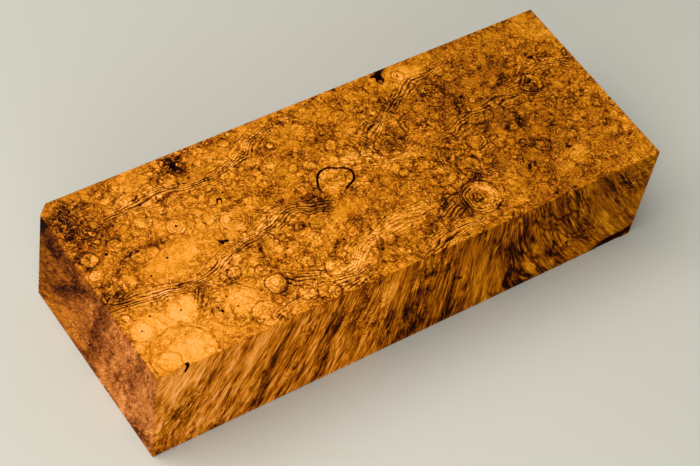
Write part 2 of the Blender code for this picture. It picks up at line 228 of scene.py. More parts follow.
# Dark stains of the top face: (u, v, half length, half height, darkness, turn)
TOP_STAINS = [
    (52.5, 26.4, 4.4, 2.4, 100, 20), (83, 41.5, 3.2, 3, 30), (79, 39.5, 2.2, 1, 60, -25),
    (106.8, 27.3, 0.9, 1.8, 70), (120.1, 11.3, 0.5, 0.35, 90), (120.6, 12.65, 0.8, 0.4, 90),
    (94.3, 7.5, 1, 0.6, 60, 20), (73.7, 0.5, 0.5, 0.4, 90), (124.3, 41.8, 2.3, 0.8, 40, -10),
    (115.8, 18.5, 0.5, 0.4, 90), (19, 34.8, 1.4, 1.8, 60, 40), (2.5, 29.5, 3.6, 2.8, 85),
    (4, 4.6, 5, 2.6, 70, -15), (2, 8, 3.4, 4.5, 50), (6.5, 11, 5, 5, 45), (13, 2.4, 4, 2.4, 30),
    (31, 2.6, 2.6, 2.6, 75, 30), (1.5, 19.6, 2.2, 0.8, 60), (3, 15, 5, 7, 25), (8, 22, 4, 3, 30, -30),
    (2, 28, 3.2, 3.4, 60), (5, 30, 3, 2, 35), (18.5, 8.3, 1.4, 1.2, 55), (31, 4, 3.6, 3.2, 40),
    (16, 31.5, 1.6, 1, 55), (23, 31, 1.6, 1, 55), (18.5, 35.5, 1.6, 1.2, 45, -45),
    (33.5, 30.4, 1.8, 0.7, 45, 10), (36, 34, 3, 3, 20), (40, 42, 4, 2.6, 40, 20),
    (33, 43.2, 2.5, 1.2, 45, -20), (39, 48, 1.8, 1.4, 55), (50, 7, 2.8, 1.8, 45, -35),
    (52.5, 27.8, 4, 1.9, 95, 15), (45, 23.2, 1.8, 1.2, 55), (47.5, 25.8, 4, 1.5, 55, 10),
    (44, 28.5, 2, 2, 30), (44.5, 33, 2, 4, 25), (56.2, 34.5, 0.9, 1.8, 35), (50, 38.5, 1.8, 0.7, 55, -45),
    (60, 11, 3.5, 1.6, 30), (71, 17, 2, 2.4, 30), (76, 20, 3.6, 3.2, 30), (84.5, 10, 3, 1.6, 45, -30),
    (80, 42.7, 2.4, 1.6, 65), (85, 28, 1.2, 2, 50), (88.5, 23.8, 2.2, 1.2, 45), (96.2, 17.5, 0.9, 2.4, 50),
    (92.5, 12, 6, 5, 20), (106.8, 27.6, 1.6, 2, 70), (93.5, 35.5, 1.6, 2, 50), (87.5, 37.3, 2.6, 1.2, 55, 5),
    (111, 12, 4, 2, 25), (123, 13.5, 3, 1.5, 30), (117.5, 28.5, 2.2, 3, 30), (118, 23, 2, 1.5, 25, 30),
    (122.5, 41.5, 3, 1, 35, -10), (75.5, 42, 2, 1.2, 35), (88, 33, 3, 3, 25), (99, 13.5, 3, 5, 15),
]
# Light lobes: (u, v, half length, half height, lightness, how much the fine figure fades, turn)
TOP_LOBES = [
    (45, 35, 6, 5, 5, 0), (95, 45, 6, 5, -6, 0), (105, 45, 6, 5, -6, 0), (36, 46, 5, 4, 4, 0),
    (76, 23, 5, 5, -3, 0), (105, 38, 5, 5, -4, 0), (77, 47, 5, 4, 4, 0), (24, 4, 5, 5, 3, 0),
    (75, 14, 5, 5, 5, 0), (64, 36, 5, 5, -3, 0), (105, 25, 5, 5, -3, 0), (18, 25, 10, 5, 10, 60),
    (5, 38, 6, 4, 12, 70), (13.5, 37.5, 4.5, 4, 8, 70), (8, 46.5, 11, 5, 13, 70), (25, 41, 4, 4, 4, 40),
    (90, 3, 5, 3, 10, 60), (125, 5, 6, 6, 7, 30), (92, 43, 6, 5, 7, 20), (58, 31, 4, 3, 2, 50),
    (108, 46, 6, 4, 2, 10), (38, 5, 5, 3, 4, 30), (16, 40, 18, 10, 5, 0), (16, 4, 8, 3, 5, 20),
    (46, 44, 8, 5, 5, 0), (25, 22, 9, 6, 3, 10), (104, 17, 16, 7, -5, 0), (99, 3, 12, 3, 4, 20),
    (4, 10, 7, 8, -2, 0), (15, 26, 9, 4, -2, 0), (48, 21, 6, 5, -6, 0), (109, 26, 12, 5, -3, 0),
    (66, 40, 13, 11, -4, 0), (125, 42, 8, 10, 5, 10), (3, 22, 6, 6, 4, 0),
]
# Eyes and bubbles of the top face: (u, v, radius, lightness, darkness of the rim, strength of the rings)
TOP_EYES = [
    (2.6, 17.6, 1.9, 22, 70, 0), (1.7, 21.9, 1.6, 18, 40, 0), (2.4, 26.2, 1.4, 12, 40, 0),
    (6.6, 26.4, 2.2, 12, 40, 20), (2, 33.8, 1, 18, 50, 0), (3, 38.2, 2.6, 8, 30, 20),
    (10.6, 33.8, 1.2, 10, 30, 0), (13.4, 37.2, 3.6, 6, 30, 30), (8, 47.6, 7.4, 2, 40, 10),
    (4.4, 47.4, 2.6, 3, 30, 0), (22.8, 18, 2.2, 5, 30, 70), (23.5, 41.5, 5.4, 5, 40, 20),
    (27.4, 34.2, 1.6, 10, 80, 50), (32.8, 36.5, 1.5, 8, 60, 60), (32.6, 34, 1.5, 8, 40, 0),
    (33.5, 40.8, 2.5, 10, 90, 50), (37.5, 32.8, 3, 5, 40, 30), (38, 45.6, 1.9, 10, 60, 0),
    (42.2, 47.6, 2.5, 4, 60, 30), (28, 46.2, 3.3, 6, 40, 50), (22.5, 7.2, 2.1, 10, 30, 0),
    (27.5, 6.7, 2.2, 2, 60, 0), (9, 16.6, 2, 8, 40, 40), (34.5, 22, 3.2, 2, 20, 50),
    (11, 11.6, 1.8, 4, 30, 30), (2, 7.5, 0.9, 22, 50, 0), (0.4, 9.2, 0.8, 24, 50, 0),
    (3.8, 8.8, 0.7, 20, 50, 0), (6.2, 7.5, 0.7, 16, 40, 0), (6.8, 3.3, 0.7, 16, 40, 0),
    (6.3, 11.8, 0.8, 22, 40, 0), (6.2, 14.3, 0.8, 20, 40, 0), (1.6, 12.4, 0.7, 10, 40, 0),
    (8.8, 5.5, 0.6, 14, 30, 0), (4.6, 24.2, 0.7, 14, 30, 0), (28.9, 1.6, 0.7, 24, 60, 0),
    (32.6, 1.2, 0.8, 26, 60, 0), (34.4, 0.6, 0.7, 26, 40, 0), (33.3, 3.1, 0.8, 20, 40, 0),
    (31.6, 3.5, 0.6, 26, 0, 0), (30.7, 5.4, 0.6, 22, 0, 0), (26.6, 3, 0.8, 16, 40, 0),
    (60, 22.6, 3.6, 2, 0, 70), (64.5, 14.2, 1.6, 8, 50, 0), (57, 16.8, 1.5, 6, 40, 30),
    (53.5, 16, 1.2, 12, 40, 0), (67, 18.2, 1.9, 0, 50, 40), (60.3, 7.2, 2, 6, 20, 0),
    (70.6, 7.6, 1.5, 2, 40, 70), (75.4, 7.6, 1.5, 2, 40, 50), (58.5, 1.4, 0.8, 12, 40, 0),
    (52.2, 8, 0.8, 16, 50, 0), (74.5, 28.3, 1.2, 4, 70, 40), (74, 32.2, 2, 2, 30, 50), (79, 28, 2, 2, 40, 40),
    (84.7, 27.5, 2.2, 4, 80, 40), (82, 32.6, 3, 2, 40, 50), (76, 20, 3.5, -4, 50, 40),
    (80.2, 16.8, 2.6, -4, 50, 30), (84.2, 17.2, 3.2, -3, 50, 60), (47, 42.6, 2.4, 8, 50, 40),
    (65, 44, 5.8, 0, 30, 30), (61, 41.6, 1.6, 6, 50, 30), (58.5, 45.6, 1.8, 4, 50, 30),
    (67.2, 47, 2, 2, 50, 30), (70.4, 43.6, 1.7, 2, 40, 40), (62.5, 46, 1.4, 10, 40, 0),
    (80, 43, 2.2, -10, 30, 0), (85.6, 41.6, 4.6, 0, 60, 90), (84.8, 41.4, 1.2, 4, 70, 0),
    (89.3, 3.5, 1.6, 6, 50, 90), (90.2, 17, 2.4, -2, 50, 60), (88, 13.6, 1.8, -2, 50, 40),
    (93.2, 11.2, 2.8, -2, 40, 50), (92.6, 14.6, 1, 6, 40, 0), (97, 17.6, 0.7, 18, 60, 0),
    (100.4, 17.5, 0.9, 16, 50, 0), (98, 19.4, 0.7, 18, 60, 0), (91.8, 19, 0.7, 12, 50, 0),
    (94, 28, 2.4, 2, 50, 90), (98.6, 30.7, 1.5, 6, 50, 30), (88.4, 33.2, 2.8, 4, 60, 50),
    (101.8, 33.3, 0.8, 12, 50, 0), (103.6, 33.3, 0.9, 12, 50, 0), (99.2, 36, 0.7, 12, 50, 0),
    (107.2, 36, 2, 0, 50, 30), (109.2, 23.2, 0.8, -6, 60, 0), (114.6, 20.6, 1.9, 0, 80, 40),
    (115.9, 19.4, 2.8, 2, 100, 10), (121.2, 22.6, 1.5, 8, 40, 0), (122.4, 30.4, 1.4, 4, 50, 40),
    (123.6, 25.6, 2, 2, 40, 40), (112, 29.4, 2.4, 0, 40, 40), (104.6, 28, 1.6, 2, 40, 30),
    (103.6, 12.6, 2.6, 0, 30, 30), (106.6, 8, 2.2, 3, 30, 20), (113.6, 6.4, 2.4, 2, 30, 20),
    (98.4, 6.2, 1.6, 4, 50, 30), (99.5, 9.2, 1.6, 3, 40, 30), (113, 34.2, 2, 0, 40, 40),
    (118.4, 34.8, 2.2, 2, 30, 20), (93.6, 33.4, 1.4, 0, 50, 30), (97.4, 25.4, 1.3, 4, 40, 20),
    (101.2, 22.8, 1.1, 2, 40, 20), (87, 26.4, 1.6, 2, 40, 30), (126.2, 31.2, 1.2, 4, 40, 0),
    (49.6, 31.4, 1.6, 3, 50, 20), (45.6, 30.2, 1.2, 4, 60, 0), (46.6, 34.6, 2.2, 4, 40, 30),
    (41.6, 34, 1.8, 4, 50, 20), (42.4, 38.4, 2, 5, 50, 20), (52.6, 21.6, 1.8, 0, 40, 30),
    (67, 31.2, 2.2, 2, 30, 40), (69.6, 28, 1.6, 2, 40, 30), (60.6, 32, 2.8, 2, 20, 30),
    (53, 33, 2.6, 4, 20, 20), (48.4, 13, 2, 3, 40, 20), (43.6, 3, 1.4, 3, 50, 20), (39, 4.4, 1.6, 5, 30, 20),
    (35.8, 5.6, 1.4, 6, 30, 0), (12, 3.2, 1.2, 8, 40, 0), (16.4, 4, 1.6, 6, 20, 0), (8, 9.8, 1, 8, 40, 0),
    (17.4, 13.8, 2, 4, 30, 30), (28.6, 13.6, 1.9, 4, 40, 30), (38.6, 13.4, 1.6, 6, 40, 20),
    (15, 21.6, 1.5, 5, 40, 20), (11.6, 21.4, 1.6, 6, 40, 20), (39.6, 20, 2.2, 3, 20, 30),
    (30, 19.6, 1.6, 2, 40, 20),
]

# Figure of the front face, in the same forms
FRONT_VEINS = [
    ([(32.2, -1), (31, 4), (29.4, 10), (28.2, 15), (27.2, 20), (25.6, 30)], 1.15, 80, 20, 0),
    ([(46, 2), (45, 7), (42.8, 13), (41.8, 18), (41.6, 24), (40.5, 30)], 1.3, 80, 30, 0),
    ([(42.8, -1), (41.2, 5), (40, 10), (38.7, 15), (39, 20), (37, 27)], 0.7, 0, 20, 16),
    ([(13.2, 4), (12.4, 8), (12.2, 11)], 1.1, 30, 0, 0),
    ([(16, 13), (12.5, 20), (10.8, 25)], 0.8, 0, 30, 12),
    ([(25.8, 1), (23.6, 7), (21, 14), (19.5, 19)], 1, 0, 0, 16),
    ([(36, 12), (34, 20), (31.5, 29)], 0.8, 0, 0, 10),
    ([(18, 6), (14.5, 12)], 0.7, 0, 0, 12),
    ([(11.5, 18), (7.5, 27)], 0.7, 0, 0, 13),
    ([(30.5, 2), (28.4, 9), (26, 17)], 0.5, 0, 0, 12),
    ([(19.5, 4), (17.5, 10), (15.2, 18)], 0.5, 30, 30, 0),
    ([(37.6, 20), (36, 25)], 0.4, 55, 0, 0),
    ([(56.5, 14), (56, 20), (56.2, 28)], 0.6, 0, 40, 12),
    ([(59.4, 14), (58.6, 20), (58.4, 28)], 0.7, 40, 40, 0),
    ([(50, 15), (53, 15.6), (55.5, 18)], 0.5, 40, 30, 0),
    ([(62, 2.5), (66, 2), (69, 2.6), (72.5, 4.5)], 0.5, 0, 60, 14),
    ([(63, 9.8), (66.5, 10.8), (69.3, 12.7)], 0.4, 0, 50, 16),
    ([(79.6, -1), (79.8, 4)], 0.3, 60, 0, 0),
    ([(96.5, 9), (97.2, 15)], 0.35, 80, 0, 0),
    ([(93.3, 13.5), (94.6, 16)], 0.4, 60, 0, 0),
    ([(88.6, 10), (90.2, 19)], 0.5, 45, 20, 0),
    ([(103.5, 18), (105, 21), (106.5, 25)], 0.9, 70, 0, 0),
    ([(108, 8.5), (109, 10.5), (109.7, 12.5)], 0.4, 90, 0, 0),
    ([(114.8, -1), (117, 4), (119.8, 9), (122, 14)], 0.4, 38, 10, 0),
    ([(108, 1), (111, 6)], 0.4, 0, 0, 14),
    ([(98, 5), (101.5, 12)], 0.4, 0, 20, 10),
    ([(105, 14), (109, 21), (112.5, 29)], 0.5, 0, 30, 12),
    ([(116.5, 14), (120.5, 20), (124.5, 28)], 0.8, 0, 30, 12),
    ([(118.5, 5), (124, 4.4), (131, 3)], 0.5, 0, 50, 12),
    ([(99.5, 19), (101.5, 26)], 0.5, 30, 10, 0),
]
FRONT_STAINS = [
    (65, 18, 3.5, 4, 55), (64, 27, 4, 3, 60), (68.5, 7, 3, 2, 75, 30), (67, 12.5, 3, 1.6, 70, 30),
    (69, 23, 1.2, 3.5, 45), (9, 17, 3, 7, 20, 20), (3, 27, 5, 2.5, 20), (36.5, 9, 2, 5, 20, 10),
    (43, 12, 2, 3, 50), (42, 21, 1.8, 4, 55), (34.5, 19.5, 1, 1, 60), (47, 3.6, 0.8, 0.7, 55),
    (48, 1.5, 4, 2, 20), (52, 15, 5, 5, 18), (79, 17.5, 1.3, 1.6, 35), (92, 13, 4, 6, 35),
    (95.4, 23, 1, 2, 20, -20), (92.7, 26, 0.7, 1.8, 10, -10), (100.5, 26, 0.6, 0.8, 40), (106, 9, 2, 0.8, 50),
    (112, 16, 3, 3.4, 35, 40), (122, 5, 9, 4, 32), (115, 20, 3, 5, 15, -35), (126, 11, 5, 2, 25),
    (125, 27.5, 6, 1.6, 75, -8), (74.5, 27, 5, 1.8, 35), (15, 28, 1.2, 0.8, 70), (28, 26, 3, 3, 35),
    (87, 8, 4, 4, 15),
]
FRONT_LOBES = [
    (36, 4, 5, 6, 10, 0), (45, 23, 5, 8, 14, 0), (54, 8, 5, 8, 10, 0), (5, 25, 6, 4, -6, 0),
    (30, 14, 7, 4, -5, 0), (75, 25, 5, 4, 4, 0), (95, 25, 5, 5, 6, 0), (115, 25, 5, 4, 5, 0),
    (2, 12, 4, 6, 4, 0), (24, 14, 4, 4, -5, 0), (65, 4, 4, 5, -7, 0), (95, 4, 5, 4, -5, 0),
    (115, 13, 6, 4, -4, 0), (125, 13, 4, 4, 3, 0), (2, 13, 4, 5, 5, 0), (5, 4, 8, 6, 12, 60),
    (57.6, 8, 2, 4.5, 16, 60), (84, 20, 6, 8, 10, 30), (24, 12, 4, 8, 6, 20, 15), (78, 9, 4, 5, 5, 10),
    (106, 14, 8, 8, 3, 10, -30), (46, 12, 3, 6, 3, 20), (46.5, 4, 4, 4, 6, 0),
]

# Where a fine ripple crosses the streaks of the front face: (u, v, half length, half height, turn)
FRONT_RIPPLES = [
    (52, 11, 8, 13), (36.5, 8, 2.4, 5, 15), (10, 13, 3, 4.5, 15), (66, 22, 4.5, 7), (68, 6, 8, 5),
    (34, 20, 2, 5, 10), (4, 27, 5, 2.5), (125, 6, 8, 6), (110, 20, 9, 4), (18, 27, 5, 2),
]

# Figure of the left end, in the same forms
END_VEINS = [
    ([(26, -1), (21.5, 5), (17.5, 9), (14, 13), (10.5, 17), (6, 23)], 1.9, 46, 0, 0),
    ([(18.6, -1), (17.5, 4), (16, 10)], 1, 36, 0, 0),
    ([(30, -1), (28.2, 6), (27, 11), (25.5, 16), (23.5, 21), (22, 30)], 2.6, 44, 0, 0),
    ([(45.5, -1), (42.5, 5), (41, 11), (40, 18)], 1.9, 30, 0, 0),
    ([(33, -1), (31, 6), (29.5, 12)], 0.8, 0, 0, 10),
    ([(12.2, 1), (10, 4.5)], 0.5, 60, 0, 0),
    ([(26, 2), (23.5, 8)], 1, 0, 0, 13),
    ([(24.5, 8.5), (23.6, 15), (21, 22)], 0.9, 0, 0, 12),
    ([(37, 12), (35, 20), (33, 29)], 0.9, 25, 0, 0),
    ([(44, 20), (41.5, 29)], 0.8, 25, 0, 0),
    ([(30, 20), (28, 29)], 1.2, 0, 0, 10),
    ([(37.5, 22), (36.5, 29)], 1, 0, 0, 12),
]
END_STAINS = [
    (2.4, 3.5, 1.8, 5, 100, 35), (7, 6, 2.5, 2, 50, 20), (32, 18, 1.6, 2, 25, 20), (6, 13, 6, 9, 15, 30),
    (10, 3, 9, 5, 34, 10), (29, 3, 3, 3, 20), (47, 27, 4, 2, 25), (21, 28, 4, 1.4, 30),
]
END_LOBES = [
    (14, 26, 8, 4, 9, 0), (43, 27, 8, 4, -4, 0), (45, 13, 6, 6, 5, 40), (33, 26, 6, 4, 8, 40),
    (16, 22, 6, 5, 8, 10, 30), (5, 25, 7, 5, 9, 0),
]

# Black spots of the front face, most of them bark left in its pocket, and the dark rim behind the edge void:
# (u, v, half length, half height, turn)
BARK_PATCHES = [
    (121.3, 28.4, 2.2, 1.1), (124.5, 27.9, 3, 1.2), (128.3, 27.4, 2.4, 1.1, -15), (131, 26.8, 2.2, 1, -10),
    (75.4, 13.5, 0.45, 0.7), (77, 14.2, 0.8, 0.4, 35), (26.5, 15.6, 0.45, 0.5),
]
VOID_RIM = (86.5, 0.1, 1.5, 0.9)

# Small black spots of the top face, in the same form
TOP_SPOTS = [
    (111.9, 38.8, 0.5, 0.8, -20), (123.8, 37.2, 0.55, 0.5), (120.1, 11.3, 0.55, 0.5),
    (120.6, 12.65, 0.9, 0.5), (98.8, 15.4, 0.5, 0.45), (115.8, 18.5, 0.55, 0.5), (106.9, 16.6, 0.5, 0.5),
    (126.5, 34.4, 0.5, 0.5), (73.8, 0.4, 0.5, 0.7), (90.8, 31.3, 0.6, 0.6), (46.8, 30.5, 0.5, 0.5),
    (35.4, 31.5, 0.4, 0.7, 20),
]

# How strong the fine figure is on the front, for places along it, and on the left end, the top having 1
FRONT_CONTRAST = ((80, 100, 108, 122), (0.85, 1.1, 1, 0.6))
END_CONTRAST = 0.6

# How strong the cloudy figure is on the front and on the left end
FRONT_CLOUD = 0.8
END_CLOUD = 0.9

# How strong the long streaks are on the front, for places along it, on the left end and on the unseen faces
FRONT_STREAKS = ((50, 80, 100, 122), (1, 0.95, 0.62, 0.42))
END_STREAKS = 0.5
HIDDEN_STREAKS = 0.7

# How smooth the stains and veins are on the front and on the left end
FRONT_SOFTNESS = 0.45
END_SOFTNESS = 0.9

# How far the grain leans along X as it goes down, for each place along the block
LEAN_PLACES = (0, 30, 45, 60, 85, 100, 115, 130)
LEAN_ALONG = (-0.42, -0.36, -0.22, -0.05, 0.02, 0.36, 0.58, 0.70)

# General lightness of each face, for places along it (the first value is at the left end or the back edge).
# It is the wood's own lightness with painted shade laid into it: the front darkens towards the right end, the
# top from 30 mm to 105 mm, and the left end towards its back edge, as the light falls off there.
TOP_TONE_AND_SHADE = ((0, 30, 60, 85, 105, 130), (0.618, 0.66, 0.655, 0.603, 0.54, 0.603))
FRONT_TONE_AND_SHADE = ((0, 20, 35, 50, 60, 70, 95, 130), (0.69, 0.67, 0.68, 0.65, 0.58, 0.49, 0.47, 0.50))
END_TONE_AND_SHADE = ((0, 12, 25, 38, 50), (0.43, 0.51, 0.56, 0.62, 0.60))

# For the same places, how much green and blue each face keeps, and how rosy it is. That rosiness is added to
# the blue where the wood is light; on the left end it is partly the end grain's own colour and partly a
# painted pink reflection
TOP_TINT = (
    (0, 30, 60, 85, 105, 130), (0.95, 0.95, 0.96, 0.97, 0.98, 0.99), (1.2, 1, 0.8, 0.8, 0.8, 0.8), (0,) * 6
)
FRONT_TINT = (
    (0, 20, 45, 70, 95, 130), (0.88, 0.87, 0.86, 0.9, 0.95, 1.03), (1, 0.8, 0.5, 0.4, 0.3, 0.2), (0,) * 6
)
END_TINT_AND_REFLECTION = (
    (0, 12, 25, 38, 50), (0.95, 0.9, 0.91, 0.92, 0.95), (0.6, 0.7, 0.8, 0.8, 0.8), (0, 0.03, 0.09, 0.13, 0.13)
)

FIELDS = ("tone", "tint", "dark", "lines", "strand", "busy")

# The layout of each face: general lightness with its painted shade, tint, lobes, stains and veins
TOP_LAYOUT = (TOP_TONE_AND_SHADE, TOP_TINT, TOP_LOBES, TOP_STAINS, TOP_VEINS)
FRONT_LAYOUT = (FRONT_TONE_AND_SHADE, FRONT_TINT, FRONT_LOBES, FRONT_STAINS, FRONT_VEINS)
END_LAYOUT = (END_TONE_AND_SHADE, END_TINT_AND_REFLECTION, END_LOBES, END_STAINS, END_VEINS)

# Colours of the wood from its darkest lines to its lightest lobes: (lightness, colour)
WOOD_COLOURS = [
    (0.04, (0.012, 0.0020, 0.0002)),
    (0.17, (0.060, 0.0108, 0.0003)),
    (0.30, (0.154, 0.0365, 0.0006)),
    (0.40, (0.244, 0.066, 0.001)),
    (0.49, (0.350, 0.106, 0.002)),
    (0.575, (0.464, 0.156, 0.003)),
    (0.66, (0.594, 0.215, 0.009)),
    (0.75, (0.744, 0.294, 0.028)),
    (0.87, (0.885, 0.392, 0.090)),
    (1.0, (0.94, 0.49, 0.17)),
]
STRAND_SPACING = 0.72  # millimetres from one strand to the next
WIDE_EYE = 1.4  # radius from which the mesh points can carry the light disc of an eye
RIPPLE_STRETCH = 5.0  # how much finer the ripple is down the front face than along it
BUBBLE_SIZE = 2.8  # millimetres from one bubble of the burl to the next
BIRDSEYE_SIZE = 1.4
ROUTE_REACH = 7.0  # millimetres beyond a route where nothing of it shows any more
BLOT_FALL = 1.2  # how fast a blot falls off, and how flat it is in its middle
BLOT_POWER = 1.4
WAVER_SIZE = 7.0  # millimetres from wave to wave of what is moved about, and how far it is moved
WAVER_REACH = 0.5
WAVER_SEED = 11
KNOB_RADIUS = 0.7
# the sunk top of the knob takes this share of the painted shade that darkens the voids
KNOB_SHADE = 0.3  # how dark the sunk top of the knob is, the same depth of a void having 1
SPOT_STRENGTH = 0.75  # how black the small spots of the top face are, bark having 1
DOWN_GRAIN = 0.16  # how much slower the grain changes down the block than across it
FAULT_REACH = 3.0  # how far below the top face its faults can reach, in millimetres


def rows(length):
    """Places of the mesh points along one side of the block, closer together at its eased edges."""
    inner = length - 2 * EDGE_EASE
    count = round(inner / POINT_STEP)
    middle = EDGE_EASE + inner * np.arange(count + 1) / count
    return np.concatenate(([0, EDGE_EASE / 3], middle, [length - EDGE_EASE / 3, length]))


def box_lattice(sides):
    """Points and faces of a closed box whose faces are grids, from the rows of its three sides."""
    counts = [len(side) for side in sides]
    index = np.stack(np.meshgrid(*[np.arange(n) for n in counts], indexing="ij"), -1)
    on_skin = ((index == 0) | (index == np.array(counts) - 1)).any(-1)
    number = np.full(counts, -1)
    number[on_skin] = np.arange(on_skin.sum())
    points = np.stack([sides[axis][index[on_skin][:, axis]] for axis in range(3)], -1)
    faces = []
    for axis in range(3):
        for at_end in (False, True):
            sheet = np.take(number, -1 if at_end else 0, axis=axis)
            quads = np.stack([sheet[:-1, :-1], sheet[1:, :-1], sheet[1:, 1:], sheet[:-1, 1:]], -1)
            if (axis == 1) == at_end:
                quads = quads[..., ::-1]
            faces.append(quads.reshape(-1, 4))
    return points, np.concatenate(faces)


def ease_edges(points):
    """Rounds the edges of the box by EDGE_EASE, without moving its faces."""
    size = np.array([FRONT_LENGTH, WIDTH, HEIGHT])
    core = np.clip(points, EDGE_EASE, size - EDGE_EASE)
    outward = points - core
    reach = np.linalg.norm(outward, axis=1, keepdims=True)
    return core + outward / np.maximum(reach, 1e-9) * np.where(reach > 0, EDGE_EASE, 0)


def saw_ends(points):
    """Moves the points of the box along X, so that its ends are as much out of square as the real ones."""
    along = points[:, 0] / FRONT_LENGTH
    to_back = points[:, 1] / WIDTH
    down = 1 - points[:, 2] / HEIGHT
    left = LEFT_END_UNDERCUT * down - LEFT_END_RUN * to_back
    right = RIGHT_END_RUN * to_back - RIGHT_END_UNDERCUT * down
    points[:, 0] += left * (1 - along) + right * along
    return points


def clip_corner(mesh):
    """Saws off the upright corner at the back of the left end, more of it at the top."""
    corner = Vector((-MIDDLE - LEFT_END_RUN, WIDTH / 2, HEIGHT)) * MM
    foot = corner + Vector((LEFT_END_UNDERCUT, 0, -HEIGHT)) * MM
    on_back = corner + Vector((CLIP_ALONG_BACK, 0, 0)) * MM
    on_end = corner - Vector((0, CLIP_ALONG_END_TOP, 0)) * MM
    on_base = foot - Vector((0, CLIP_ALONG_END_BASE, 0)) * MM
    outward = (on_end - on_back).cross(on_base - on_back)
    if outward.dot(corner - on_back) < 0:
        outward.negate()
    cut = bmesh.ops.bisect_plane(
        mesh,
        geom=mesh.verts[:] + mesh.edges[:] + mesh.faces[:],
        plane_co=on_back,
        plane_no=outward,
        clear_outer=True,
    )
    edges = [item for item in cut["geom_cut"] if isinstance(item, bmesh.types.BMEdge)]
    bmesh.ops.holes_fill(mesh, edges=edges, sides=0)


def sawn_block():
    """The block before its faults are cut, as one closed mesh of about half-millimetre squares."""
    points, faces = box_lattice([rows(FRONT_LENGTH), rows(WIDTH), rows(HEIGHT)])
    points = saw_ends(ease_edges(points))
    points -= (MIDDLE, WIDTH / 2, 0)
    points[:, 0] *= WITHIN_BOX
    data = bpy.data.meshes.new("burl_wood")
    data.from_pydata((points * MM).tolist(), [], faces.tolist())
    mesh = bmesh.new()
    mesh.from_mesh(data)
    clip_corner(mesh)
    bmesh.ops.recalc_face_normals(mesh, faces=mesh.faces[:])
    mesh.to_mesh(data)
    mesh.free()
    block = bpy.data.objects.new("burl_wood", data)
    bpy.context.scene.collection.objects.link(block)
    return block


# Places on a face are turned into the block's frame by these: x along the face, y up it, z out of it
TOP_FACE = Matrix.Translation(Vector((-MIDDLE, WIDTH / 2, HEIGHT)) * MM)
FRONT_FACE = Matrix.Translation(Vector((-MIDDLE, -WIDTH / 2, HEIGHT)) * MM) @ Matrix.Rotation(
    math.radians(90), 4, "X"
)


def curve_to_cutter(curve_object, collection):
    """Replaces a curve by a closed mesh, so that it can cut the block."""
    bpy.context.scene.collection.objects.link(curve_object)
    bpy.context.view_layer.update()
    depsgraph = bpy.context.evaluated_depsgraph_get()
    data = bpy.data.meshes.new_from_object(curve_object.evaluated_get(depsgraph))
    mesh = bmesh.new()
    mesh.from_mesh(data)
    bmesh.ops.remove_doubles(mesh, verts=mesh.verts[:], dist=0.000001)
    bmesh.ops.recalc_face_normals(mesh, faces=mesh.faces[:])
    mesh.to_mesh(data)
    mesh.free()
    cutter = bpy.data.objects.new("cutter", data)
    cutter.matrix_world = curve_object.matrix_world.copy()
    bpy.data.objects.remove(curve_object, do_unlink=True)
    collection.objects.link(cutter)


def add_spline(curve, points, closed):
    spline = curve.splines.new("POLY")
    spline.points.add(len(points) - 1)
    for target, (along, down) in zip(spline.points, points):
        target.co = (along * MM, -down * MM, 0, 1)
    spline.use_cyclic_u = closed
    return spline


def cut_void(outline, depth, face, collection, island=None):
    """A steep-walled hollow, round an island of wood when one is given."""
    curve = bpy.data.curves.new("void", "CURVE")
    curve.dimensions = "2D"
    curve.fill_mode = "BOTH"
    curve.extrude = depth * MM
    add_spline(curve, outline, True)
    if island:
        add_spline(curve, island, True)
    outline_object = bpy.data.objects.new("void", curve)
    outline_object.matrix_world = face
    curve_to_cutter(outline_object, collection)


def cut_crack(route, width, depth, face, collection):
    """A narrow groove along a route, deepest and widest in its middle and closing at both ends."""
    curve = bpy.data.curves.new("crack", "CURVE")
    curve.dimensions = "3D"
    curve.bevel_depth = width / 2 * MM
    curve.bevel_resolution = 2
    curve.use_fill_caps = True
    spline = add_spline(curve, route, False)
    last = len(route) - 1
    for index, point in enumerate(spline.points):
        to_nearest_end = min(index, last - index)
        point.radius = min(1.0, 0.45 + 0.3 * to_nearest_end)
    groove = bpy.data.objects.new("crack", curve)
    groove.matrix_world = face @ Matrix.Diagonal((1, 1, 2 * depth / width, 1))
    curve_to_cutter(groove, collection)


def cut_pinholes(holes, face, collection):
    """Short tapered holes, all in one cutter."""
    mesh = bmesh.new()
    for along, down, radius in holes:
        bmesh.ops.create_cone(
            mesh,
            cap_ends=True,
            segments=10,
            radius1=radius * 0.6 * MM,
            radius2=radius * 1.3 * MM,
            depth=2 * PINHOLE_DEPTH * MM,
            matrix=Matrix.Translation(Vector((along, -down, 0)) * MM),
        )
    data = bpy.data.meshes.new("pinholes")
    mesh.to_mesh(data)
    mesh.free()
    cutter = bpy.data.objects.new("cutter", data)
    cutter.matrix_world = face
    collection.objects.link(cutter)


